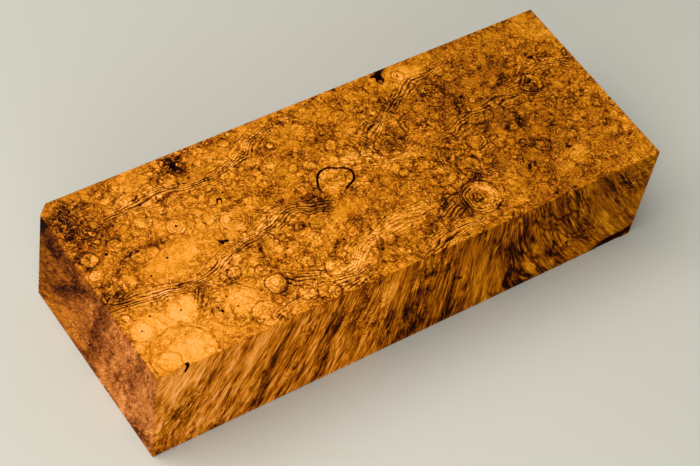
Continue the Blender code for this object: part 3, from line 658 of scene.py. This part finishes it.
def cut_faults(block):
    """Cuts the cracks, voids and pinholes out of the block, and removes their cutters."""
    cutters = bpy.data.collections.new("cutters")
    bpy.context.scene.collection.children.link(cutters)
    for crack in TOP_CRACKS:
        cut_crack(*crack, TOP_FACE, cutters)
    cut_void(EDGE_VOID, VOID_DEPTH, TOP_FACE, cutters, KNOB)
    cut_void(KNOB_TOP, KNOB_DEPTH, TOP_FACE, cutters)
    for outline in (FORKED_VOID, HORSESHOE_VOID, WEDGE_VOID):
        cut_void(outline, VOID_DEPTH, TOP_FACE, cutters)
    cut_pinholes(PINHOLES, TOP_FACE, cutters)
    cut_pinholes(FRONT_PINHOLES, FRONT_FACE, cutters)
    cut_void(EDGE_CRACK, EDGE_CRACK_DEPTH, FRONT_FACE, cutters)
    cut_crack(LOW_SLIT, LOW_SLIT_WIDTH, LOW_SLIT_DEPTH, FRONT_FACE, cutters)
    cut_void(BARK_POCKET, BARK_POCKET_DEPTH, FRONT_FACE, cutters)
    cut_void(BARK_HOLLOW, BARK_HOLLOW_DEPTH, FRONT_FACE, cutters)
    faults = block.modifiers.new("natural_faults", "BOOLEAN")
    faults.operation = "DIFFERENCE"
    faults.operand_type = "COLLECTION"
    faults.collection = cutters
    faults.solver = "EXACT"
    bpy.context.view_layer.update()
    depsgraph = bpy.context.evaluated_depsgraph_get()
    cut = bpy.data.meshes.new_from_object(block.evaluated_get(depsgraph))
    block.modifiers.clear()
    block.data = cut
    for cutter in list(cutters.objects):
        bpy.data.objects.remove(cutter, do_unlink=True)
    bpy.data.collections.remove(cutters)


def rounded(route):
    """The route as a finer chain of points, with its corners rounded."""
    route = np.array(route, float)
    for _ in range(2):
        cut = np.stack([0.75 * route[:-1] + 0.25 * route[1:], 0.25 * route[:-1] + 0.75 * route[1:]], 1)
        route = np.concatenate((route[:1], cut.reshape(-1, 2), route[-1:]))
    return route


def route_field(places, route):
    """Distance along and (signed) across a route, and how much of its strength is left towards its ends."""
    route = rounded(route)
    near = ((places > route.min(0) - ROUTE_REACH) & (places < route.max(0) + ROUTE_REACH)).all(1)
    spots = places[near]
    best = np.full(len(spots), 1e3)
    side = np.ones(len(spots))
    travelled = np.zeros(len(spots))
    steps = np.linalg.norm(np.diff(route, axis=0), axis=1)
    total = steps.sum()
    passed = 0.0
    for start, end, step in zip(route[:-1], route[1:], steps):
        run = (end - start) / step
        offset = spots - start
        travel = np.clip(offset @ run, 0, step)
        gap = offset - travel[:, None] * run
        distance = np.linalg.norm(gap, axis=1)
        cross = run[0] * offset[:, 1] - run[1] * offset[:, 0]
        nearer = distance < best
        best[nearer] = distance[nearer]
        side[nearer] = np.sign(cross[nearer])
        travelled[nearer] = passed + travel[nearer]
        passed += step
    along = np.zeros(len(places))
    across = np.full(len(places), 1e3)
    along[near] = travelled
    across[near] = best * side
    to_end = np.minimum(along, total - along)
    return along, across, np.clip(0.3 + to_end / (0.2 * total), 0, 1)


def waver(places, size, reach, seed):
    """Moves places about by smooth waves of the given size, so that nothing listed stays too regular."""
    random = np.random.default_rng(seed)
    moved = places.copy()
    for axis in range(2):
        for _ in range(5):
            turn = random.uniform(0, 2 * math.pi)
            length = size * random.uniform(0.6, 1.6)
            wave = places @ (math.cos(turn), math.sin(turn)) * (2 * math.pi / length)
            moved[:, axis] += reach * 0.45 * np.sin(wave + random.uniform(0, 2 * math.pi))
    return moved


def blot(places, u, v, half_length, half_height, turn=0):
    """1 in the middle of an ellipse, falling smoothly to 0 beyond its rim."""
    angle = math.radians(turn)
    offset = places - (u, v)
    along = offset @ (math.cos(angle), math.sin(angle)) / half_length
    across = offset @ (-math.sin(angle), math.cos(angle)) / half_height
    return np.exp(-BLOT_FALL * (along**2 + across**2) ** BLOT_POWER)


class Figure:
    """Layout of the figure at a set of places: every field has one value for each place."""

    def __init__(self, places, tone, tint, lobes, stains, veins):
        count = len(places)
        along_tint, *tints = tint
        self.tint = np.stack([np.interp(places[:, 0], along_tint, values) for values in tints], -1)
        self.straight = places
        self.places = waver(places, WAVER_SIZE, WAVER_REACH, WAVER_SEED)
        self.tone = np.interp(places[:, 0], *tone)
        self.dark = np.zeros(count)
        self.lines = np.zeros(count)
        self.strand = np.stack([places @ (0.9, -0.4), places @ (0.4, 0.9)], -1)
        self.busy = np.ones(count)
        self.add_lobes(lobes)
        self.add_stains(stains)
        self.add_veins(veins)

    def darken(self, amount):
        self.dark = 1 - (1 - self.dark) * (1 - np.clip(amount, 0, 1))

    def add_strands(self, along, across, strength):
        stronger = strength > self.lines
        self.strand[stronger] = np.stack([along, across], -1)[stronger]
        self.lines = np.maximum(self.lines, strength)

    def add_veins(self, veins):
        for route, half_width, *strengths in veins:
            darkness, line_strength, lightness = np.array(strengths) / 100
            along, across, strength = route_field(self.places, route)
            core = np.exp(-((across / half_width) ** 2)) * strength
            wide = np.exp(-((across / (1.8 * half_width)) ** 2)) * strength
            self.darken(darkness * core)
            self.tone += lightness * core
            self.add_strands(along + 10 * route[0][0], across, line_strength * wide)

    def add_stains(self, stains):
        for u, v, half_length, half_height, darkness, *turn in stains:
            self.darken(darkness / 100 * blot(self.places, u, v, half_length, half_height, *turn))

    def add_lobes(self, lobes):
        for u, v, half_length, half_height, lightness, calm, *turn in lobes:
            inside = blot(self.places, u, v, half_length, half_height, *turn)
            self.tone += lightness / 100 * inside
            self.busy *= 1 - calm / 100 * inside

    def add_eyes(self, eyes):
        """Light discs of the wider eyes, and the rings round every eye."""
        for u, v, radius, lightness, _, rings in eyes:
            offset = self.straight - (u, v)
            distance = np.linalg.norm(offset, axis=1)
            if radius >= WIDE_EYE:
                self.tone += lightness / 100 * np.exp(-((distance / radius) ** 4))
            along = np.abs(np.arctan2(offset[:, 1], offset[:, 0])) * radius + 7 * u
            strength = rings / 100 * np.exp(-(((distance / radius - 0.75) / 0.45) ** 2))
            self.add_strands(along, distance, strength)


class Spots:
    """Where a set of points of the block is on its faces, in millimetres."""

    def __init__(self, points):
        self.along = points[:, 0] + MIDDLE
        self.back = WIDTH / 2 - points[:, 1]
        self.down = HEIGHT - points[:, 2]
        inside = self.depths()
        self.nearest = inside.argmin(0)
        self.pit = np.maximum(inside.min(0), 0)
        lean_u = np.interp(self.along, LEAN_PLACES, LEAN_ALONG)
        near_left = np.exp(-np.clip(self.along, 0, None) / 20)
        lean_v = -near_left * np.interp(self.back, (0, 50), (0.85, 0.25))
        self.swept = np.stack([self.along - lean_u * self.down, self.back - lean_v * self.down], -1)
        self.on_front = np.stack([self.along, self.down], -1)
        self.on_end = np.stack([self.back, self.down], -1)

    def depths(self):
        """How deep the points are below the top, front, left, back, right, base and clipped faces."""
        lower = self.down / HEIGHT
        left_plane = LEFT_END_UNDERCUT * lower - LEFT_END_RUN * (1 - self.back / WIDTH)
        right_plane = FRONT_LENGTH - RIGHT_END_UNDERCUT * lower + RIGHT_END_RUN * (1 - self.back / WIDTH)
        clip_slope = CLIP_ALONG_BACK / CLIP_ALONG_END_TOP
        narrowed = (CLIP_ALONG_END_BASE / CLIP_ALONG_END_TOP - 1) * CLIP_ALONG_BACK
        clip_reach = CLIP_ALONG_BACK + narrowed * lower
        from_clip = self.along - left_plane + clip_slope * self.back - clip_reach
        from_clip = from_clip / math.hypot(1, clip_slope)
        return np.stack(
            [
                self.down,
                WIDTH - self.back,
                self.along - left_plane,
                self.back,
                right_plane - self.along,
                HEIGHT - self.down,
                from_clip,
            ]
        )


def read_places(items, key):
    """Points of the mesh, in millimetres."""
    values = np.zeros(len(items) * 3, np.float32)
    items.foreach_get(key, values)
    return values.reshape(-1, 3).astype(float) / MM


def write_field(data, name, values, domain="POINT"):
    """Gives the mesh a value, or three, for each of its points or faces."""
    kind, key = ("FLOAT", "value") if values.ndim == 1 else ("FLOAT_VECTOR", "vector")
    layer = data.attributes.new("wood_" + name, kind, domain)
    layer.data.foreach_set(key, values.astype(np.float32).ravel())


def strongest(places, ellipses):
    """How far inside the nearest of several ellipses each place is."""
    return np.max([blot(places, *ellipse) for ellipse in ellipses], 0)


def black_spots(spots):
    """Where the wood is black: bark and small spots on the front, spots and a dark rim on the top."""
    front = np.where(spots.back > WIDTH - 1.5, strongest(spots.on_front, BARK_PATCHES), 0.0)
    top = np.maximum(blot(spots.swept, *VOID_RIM), SPOT_STRENGTH * strongest(spots.swept, TOP_SPOTS))
    return np.maximum(front, np.where(spots.down < FAULT_REACH, top, 0.0))


def pit_depths(spots):
    """How deep each point is in a void, for the painted shade there, the knob in the edge void counting for
    less.
    """
    from_knob = np.hypot(spots.along - KNOB_MIDDLE[0], spots.back - KNOB_MIDDLE[1])
    on_knob = (from_knob < KNOB_RADIUS) & (spots.pit < KNOB_DEPTH + 0.05)
    return np.where(on_knob, spots.pit * KNOB_SHADE, spots.pit)


def lay_figure(block):
    """Writes the layout of the figure onto the block's points."""
    spots = Spots(read_places(block.data.vertices, "co"))
    is_front = spots.nearest == 1
    is_end = spots.nearest == 2
    is_hidden = spots.nearest > 2
    top = Figure(spots.swept, *TOP_LAYOUT)
    top.add_eyes(TOP_EYES)
    front = Figure(spots.on_front, *FRONT_LAYOUT)
    end = Figure(spots.on_end, *END_LAYOUT)
    fields = {}
    for name in FIELDS:
        values = getattr(top, name).copy()
        values[is_front] = getattr(front, name)[is_front]
        values[is_end] = getattr(end, name)[is_end]
        fields[name] = values
    fields["cloud"] = fields["busy"] * np.select([is_front, is_end], [FRONT_CLOUD, END_CLOUD], 1.0)
    contrast = np.interp(spots.along, *FRONT_CONTRAST)
    fields["busy"] *= np.select([is_front, is_end], [contrast, END_CONTRAST], 1.0)
    streaks = np.interp(spots.along, *FRONT_STREAKS)
    fields["side"] = np.select([is_front, is_end, is_hidden], [streaks, END_STREAKS, HIDDEN_STREAKS], 0.0)
    fields["soft"] = np.select([is_front, is_end], [FRONT_SOFTNESS, END_SOFTNESS], 0.0)
    fields["ripple"] = np.where(is_front, strongest(spots.on_front, FRONT_RIPPLES), 0.0)
    fields["bark"] = black_spots(spots)
    _, from_crack, _ = route_field(spots.swept, RING_CRACK)
    fields["crack"] = np.where(spots.down < FAULT_REACH, np.clip(from_crack, -9, 9), 9.0)
    fields["pit"] = pit_depths(spots)
    fields["strand"] = np.column_stack([fields["strand"], np.zeros(len(spots.down))])
    fields["grain"] = np.column_stack([spots.swept, spots.down * DOWN_GRAIN])
    for name, values in fields.items():
        write_field(block.data, name, values)


def lay_eyes(block):
    """Gives each face of the mesh the eye whose rim is nearest: its middle, radius, lightness and rim."""
    spots = Spots(read_places(block.data.polygons, "center"))
    count = len(spots.down)
    nearest_gap = np.full(count, 3.0)
    circle = np.zeros((count, 3))
    mark = np.zeros((count, 3))
    on_top = (spots.nearest == 0) | (spots.nearest == 3)
    for u, v, radius, lightness, rim, _ in TOP_EYES:
        distance = np.linalg.norm(spots.swept - (u, v), axis=1)
        gap = np.abs(distance - radius)
        nearer = on_top & (gap < nearest_gap)
        nearest_gap[nearer] = gap[nearer]
        circle[nearer] = (u, v, radius)
        mark[nearer] = (lightness if radius < WIDE_EYE else 0.0, rim, 0.0)
    write_field(block.data, "circle", circle, "FACE")
    write_field(block.data, "mark", mark / 100, "FACE")


class Shade:
    """Writes shader sums as plain calls: each call adds a node or a few, and gives back an output."""

    def __init__(self, name):
        self.material = bpy.data.materials.new(name)
        self.material.use_nodes = True
        self.tree = self.material.node_tree
        self.shader = self.tree.nodes["Principled BSDF"]

    def put(self, node, name, value):
        """Sets an input of a node, or links it to the output given."""
        if isinstance(value, bpy.types.NodeSocket):
            self.tree.links.new(value, node.inputs[name])
        else:
            node.inputs[name].default_value = value

    def node(self, kind, inputs, **settings):
        node = self.tree.nodes.new("ShaderNode" + kind)
        for name, value in settings.items():
            setattr(node, name, value)
        for name, value in inputs.items():
            self.put(node, name, value)
        return node

    def value(self, name, output="Fac"):
        """A value that the mesh carries, or three of them as a vector."""
        return self.node("Attribute", {}, attribute_name="wood_" + name).outputs[output]

    def sum(self, operation, first, second=0.0, third=0.0):
        return self.node("Math", {0: first, 1: second, 2: third}, operation=operation).outputs[0]

    def add(self, first, second):
        return self.sum("ADD", first, second)

    def times(self, first, second):
        return self.sum("MULTIPLY", first, second)

    def less(self, first, second):
        return self.sum("SUBTRACT", first, second)

    def plus(self, total, value, weight):
        """The total with a weighted value added to it."""
        return self.sum("MULTIPLY_ADD", value, weight, total)

    def vector(self, operation, first, second):
        return self.node("VectorMath", {0: first, 1: second}, operation=operation).outputs[0]

    def scaled(self, place, x, y, z):
        return self.vector("MULTIPLY", place, (x, y, z))

    def length(self, vector):
        return self.node("VectorMath", {0: vector}, operation="LENGTH").outputs["Value"]

    def part(self, vector, axis):
        return self.node("SeparateXYZ", {0: vector}).outputs[axis]

    def joined(self, x, y, z):
        return self.node("CombineXYZ", {0: x, 1: y, 2: z}).outputs[0]

    def noise(self, place, size, detail=1.0, roughness=0.5, output="Fac", shift=0.0):
        """Smooth noise about 0.5, with features of the given size in millimetres."""
        moved = self.vector("ADD", place, (shift, shift * 1.7, shift * 0.6))
        inputs = {"Vector": moved, "Scale": 1 / size, "Detail": detail, "Roughness": roughness}
        return self.node("TexNoise", inputs).outputs[output]

    def pushed(self, place, by, size, reach, detail=1.0, shift=0.0):
        """A place moved about by a coloured noise, which is laid out by another place."""
        colour = self.noise(by, size, detail, output="Color", shift=shift)
        push = self.vector("SUBTRACT", colour, (0.5, 0.5, 0.5))
        return self.vector("ADD", place, self.scaled(push, reach, reach, reach))

    def cells(self, place, size, feature="F1"):
        """Distance to the middle of the nearest of many round cells, or to the border between two."""
        node = self.node("TexVoronoi", {"Vector": place, "Scale": 1 / size}, feature=feature)
        return node.outputs["Distance"]

    def step(self, value, low, high, to_low=0.0, to_high=1.0):
        """Goes smoothly from to_low to to_high as the value goes from low to high."""
        inputs = {"Value": value, "From Min": low, "From Max": high, "To Min": to_low, "To Max": to_high}
        return self.node("MapRange", inputs, interpolation_type="SMOOTHSTEP").outputs["Result"]

    def below(self, value, low, high):
        return self.step(value, low, high, 1.0, 0.0)

    def near(self, value, middle, low, high):
        """1 where a value is within low of the middle, and 0 where it is more than high away from it."""
        return self.below(self.sum("ABSOLUTE", self.less(value, middle)), low, high)

    def ramp(self, value, stops):
        node = self.node("ValToRGB", {"Fac": value})
        elements = node.color_ramp.elements
        while len(elements) < len(stops):
            elements.new(0.5)
        for element, (place, colour) in zip(elements, stops):
            element.position = place
            element.color = (*colour, 1.0)
        return node.outputs["Color"]


class BurlWood(Shade):
    """Figured wood: each layer adds to its lightness, from which its colour then comes."""

    def __init__(self):
        super().__init__("burl_wood")
        self.busy = self.value("busy")
        self.lines = self.value("lines")
        self.side = self.value("side")
        # the lightness starts from the face's general lightness, which has painted shade laid into it along
        # the faces
        self.light = self.value("tone")
        # The grain is pushed about at several sizes
        self.grain = self.value("grain", "Vector")
        self.gently = self.pushed(self.grain, self.grain, 3, 1.6, shift=19)
        self.widely = self.pushed(self.grain, self.grain, 3.4, 3.6, 2)
        curled = self.pushed(self.widely, self.widely, 1.2, 1.3, shift=13)
        self.short = self.scaled(curled, 1, 1, 0.75)
        self.middle = self.noise(curled, 1.6, 2, 0.55, shift=47)
        self.fine = self.noise(self.short, 0.62, 2, 0.65, shift=59)

    def lighten(self, value, weight):
        self.light = self.plus(self.light, value, weight)

    def mottle(self, noise, amount, weight):
        """Lightens and darkens by a noise, as strongly as the amount says."""
        self.lighten(self.less(noise, 0.5), self.times(amount, weight))

    def add_curl(self):
        """Clouds of the burl, its fine curl and its grit."""
        cloud = self.value("cloud")
        grit = self.noise(self.scaled(self.gently, 1, 1, 0.9), 0.3, shift=5)
        self.mottle(self.noise(self.widely, 5, 2, shift=31), cloud, 0.27)
        self.mottle(self.middle, cloud, 0.22)
        self.mottle(self.fine, self.busy, 0.38)
        self.mottle(grit, self.busy, 0.56)

    def add_streaks(self):
        """Long streaks on the sawn sides, crossed in patches by a fine ripple."""
        rippled = self.value("ripple")
        streaked = self.times(self.side, self.step(rippled, 0, 1, 1, 0.5))
        long = self.scaled(self.gently, 1, 1, 0.3)
        self.mottle(self.noise(long, 1.15, 2, 0.55, shift=151), streaked, 0.72)
        self.mottle(self.noise(long, 0.42, shift=163), streaked, 0.48)
        pale = self.near(self.noise(long, 0.9, shift=191), 0.5, 0, 0.05)
        self.lighten(pale, self.times(streaked, 0.1))
        brown = self.near(self.noise(long, 1.3, shift=211), 0.5, 0, 0.05)
        self.lighten(brown, self.times(streaked, -0.13))
        across = self.scaled(self.gently, 0.45, 0.45, RIPPLE_STRETCH)
        self.mottle(self.noise(across, 0.4, shift=173), rippled, 0.95)

    def add_bubbles(self):
        """Light discs with thin dark rims and faint inner rings; gives back where their borders are."""
        region = self.step(self.noise(self.widely, 8, shift=23), 0.36, 0.58, 0.35, 1)
        region = self.times(region, self.busy)
        bubble = self.plus(self.cells(self.gently, BUBBLE_SIZE), self.less(self.fine, 0.5), 0.1)
        self.lighten(self.times(self.below(bubble, 0.22, 0.46), region), 0.07)
        self.lighten(self.times(self.near(bubble, 0.44, 0.01, 0.065), region), -0.15)
        self.lighten(self.times(self.near(bubble, 0.22, 0.005, 0.05), region), -0.08)
        to_border = self.cells(self.gently, BUBBLE_SIZE, "DISTANCE_TO_EDGE")
        return self.times(self.below(to_border, 0, 0.2), region)

    def add_squiggles(self, borders):
        """Thin worm-like lines where a noise crosses its middle, in patches and between the bubbles."""
        thread = self.near(self.noise(self.short, 0.92, shift=71), 0.5, 0.03, 0.13)
        patch = self.step(self.noise(self.widely, 2.6, 2, 0.6, shift=83), 0.44, 0.62)
        knotty = self.sum("MAXIMUM", self.times(borders, 0.7), self.times(patch, self.busy))
        self.lighten(self.times(thread, knotty), -0.3)
        thread = self.near(self.noise(self.short, 0.66, shift=113), 0.5, 0.02, 0.08)
        patch = self.step(self.noise(self.widely, 3.6, shift=127), 0.42, 0.62)
        self.lighten(self.times(thread, self.times(patch, self.busy)), -0.16)

    def add_birdseyes(self):
        """Light pebbles parted by dark lines, in clusters."""
        cluster = self.step(self.noise(self.widely, 4.6, shift=103), 0.48, 0.6)
        cluster = self.times(cluster, self.busy)
        pebble = self.below(self.cells(self.short, BIRDSEYE_SIZE), 0.05, 0.55)
        parting = self.below(self.cells(self.short, BIRDSEYE_SIZE, "DISTANCE_TO_EDGE"), 0.03, 0.16)
        self.lighten(self.times(pebble, cluster), 0.11)
        self.lighten(self.times(parting, cluster), -0.17)

    def add_strands(self):
        """Dark waved lines on a lighter ground, beside the veins and round the marked eyes."""
        place = self.pushed(self.value("strand", "Vector"), self.grain, 3.5, 1.2, shift=97)
        sway = self.noise(self.scaled(place, 0.12, 0.5, 1), 0.9, shift=7)
        phase = self.times(self.part(place, "Y"), 2 * math.pi / STRAND_SPACING)
        strand = self.step(self.sum("SINE", self.plus(phase, sway, 11)), -0.4, 0.7)
        worn = self.noise(self.scaled(place, 0.3, 1.3, 1), 0.9, shift=17)
        strand = self.times(strand, self.step(worn, 0.36, 0.56, 0.25, 1))
        self.lighten(self.times(strand, self.lines), -0.28)
        self.lighten(self.lines, 0.125)
        return strand

    def add_stains(self, strand):
        """Stains and the dark cores of the veins, broken up into crisp squiggles or by the strands."""
        worm = self.below(self.noise(self.short, 0.68, shift=131), 0.45, 0.55)
        loose = self.times(worm, self.less(1, self.lines))
        broken = self.plus(self.times(loose, 1.3), self.times(strand, self.lines), 1.2)
        soft = self.value("soft")
        broken = self.plus(broken, self.times(broken, soft), -0.8)
        broken = self.plus(self.add(broken, 0.35), soft, 0.75)
        self.lighten(self.times(self.value("dark"), broken), -0.42)

    def add_eyes(self):
        """The marked eyes: lighter within, with a thin dark rim that is broken here and there."""
        circle = self.value("circle", "Vector")
        mark = self.value("mark", "Vector")
        wobbly = self.pushed(self.gently, self.grain, 1.9, 1.1, shift=37)
        offset = self.scaled(self.vector("SUBTRACT", wobbly, circle), 1, 1, 0)
        from_rim = self.less(self.length(offset), self.part(circle, "Z"))
        self.lighten(self.below(from_rim, -0.35, 0.05), self.part(mark, "X"))
        rim = self.times(self.near(from_rim, 0, 0.07, 0.4), self.step(self.middle, 0.38, 0.52, 0.4, 1))
        self.lighten(self.times(rim, self.part(mark, "Y")), -0.42)

    def add_faults(self):
        """A black band is painted along the ring crack, bark is black, and painted shade darkens the wood
        down into a void.
        """
        self.lighten(self.near(self.value("crack"), 0, 0.12, 0.3), -0.6)
        self.lighten(self.value("bark"), -0.8)
        # painted shade: the deeper in a void, the darker the wood, black from a quarter millimetre down
        pit = self.below(self.value("pit"), 0.01, 0.25)
        self.light = self.times(self.sum("MAXIMUM", self.light, 0.03), pit)

    def colour(self, strand):
        """The colour of the lightness, tinted as its face is and creamier between the strands, its rosiness
        on the left end partly a painted pink reflection.
        """
        hue = self.less(self.noise(self.widely, 9, shift=181), 0.5)
        cream = self.times(self.less(1, strand), self.lines)
        tints = self.value("tint", "Vector")
        green = self.plus(self.plus(self.part(tints, "X"), hue, 0.13), cream, 0.02)
        blue = self.plus(self.part(tints, "Y"), cream, 0.4)
        # rosiness for the light parts: on the left end partly its own colour, partly a painted pink
        # reflection
        rose_and_reflection = self.times(self.part(tints, "Z"), self.sum("POWER", self.light, 3))
        tinted = self.vector("MULTIPLY", self.ramp(self.light, WOOD_COLOURS), self.joined(1, green, blue))
        return self.vector("ADD", tinted, self.joined(0, 0, rose_and_reflection))


def burl_material():
    wood = BurlWood()
    wood.add_curl()
    wood.add_streaks()
    borders = wood.add_bubbles()
    wood.add_squiggles(borders)
    wood.add_birdseyes()
    strand = wood.add_strands()
    wood.add_stains(strand)
    wood.add_eyes()
    wood.add_faults()
    wood.put(wood.shader, "Base Color", wood.colour(strand))
    wood.put(wood.shader, "Roughness", wood.step(wood.fine, 0.3, 0.7, 0.62, 0.5))
    wood.put(wood.shader, "Specular IOR Level", wood.step(wood.side, 0, 0.5, 0.03, 0.006))
    height = wood.add(wood.times(wood.light, 0.6), wood.times(wood.fine, 0.4))
    bump = wood.node("Bump", {"Height": height, "Strength": 0.2, "Distance": 0.0002})
    wood.put(wood.shader, "Normal", bump.outputs["Normal"])
    return wood.material


def floor_material():
    shade = Shade("plain_floor")
    place = shade.node("NewGeometry", {}).outputs["Position"]
    mottle = shade.noise(place, 0.25, 2.0)
    colour = shade.ramp(mottle, [(0.3, (0.47, 0.465, 0.41)), (0.7, (0.50, 0.495, 0.44))])
    shade.put(shade.shader, "Base Color", colour)
    shade.put(shade.shader, "Roughness", 0.85)
    shade.put(shade.shader, "Specular IOR Level", 0.1)
    return shade.material


def make_floor():
    data = bpy.data.meshes.new("floor")
    mesh = bmesh.new()
    bmesh.ops.create_grid(mesh, x_segments=1, y_segments=1, size=FLOOR_HALF_WIDTH)
    mesh.to_mesh(data)
    mesh.free()
    data.materials.append(floor_material())
    floor = bpy.data.objects.new("floor", data)
    bpy.context.scene.collection.objects.link(floor)


def add_light(name, place, aim, size, power, colour):
    data = bpy.data.lights.new(name, "AREA")
    data.size = size
    data.energy = power
    data.color = colour
    light = bpy.data.objects.new(name, data)
    light.location = Vector(place)
    light.rotation_mode = "QUATERNION"
    light.rotation_quaternion = (Vector(aim) - light.location).to_track_quat("-Z", "Y")
    bpy.context.scene.collection.objects.link(light)


def make_light():
    add_light("key", (-0.32, 0.12, 0.62), (0, 0, 0), 0.6, 5.6, (1.0, 0.98, 0.95))
    add_light("fill", (-0.36, -0.42, 0.22), (-0.04, 0, 0.01), 0.4, 1.9, (1.0, 0.97, 0.92))
    world = bpy.data.worlds.new("plain_sky")
    world.use_nodes = True
    background = world.node_tree.nodes["Background"]
    background.inputs["Color"].default_value = (1.0, 0.99, 0.97, 1.0)
    background.inputs["Strength"].default_value = 0.36
    bpy.context.scene.world = world


def make_camera():
    data = bpy.data.cameras.new("camera")
    data.sensor_width = 36.0
    data.lens = CAMERA_LENS
    data.clip_start = 0.01
    data.clip_end = 20.0
    camera = bpy.data.objects.new("camera", data)
    camera.location = Vector(CAMERA_PLACE) * MM
    look = Vector(CAMERA_AIM) * MM - camera.location
    camera.rotation_mode = "QUATERNION"
    level = look.to_track_quat("-Z", "Y")
    roll = Matrix.Rotation(math.radians(CAMERA_ROLL), 3, "Z").to_quaternion()
    camera.rotation_quaternion = level @ roll
    bpy.context.scene.collection.objects.link(camera)
    bpy.context.scene.camera = camera


def main():
    make_camera()
    block = sawn_block()
    cut_faults(block)
    lay_figure(block)
    lay_eyes(block)
    block.data.materials.clear()
    block.data.materials.append(burl_material())
    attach(block, "root")
    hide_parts("burl_block")
    make_floor()
    make_light()
    bpy.context.scene.view_settings.view_transform = "Standard"


main()
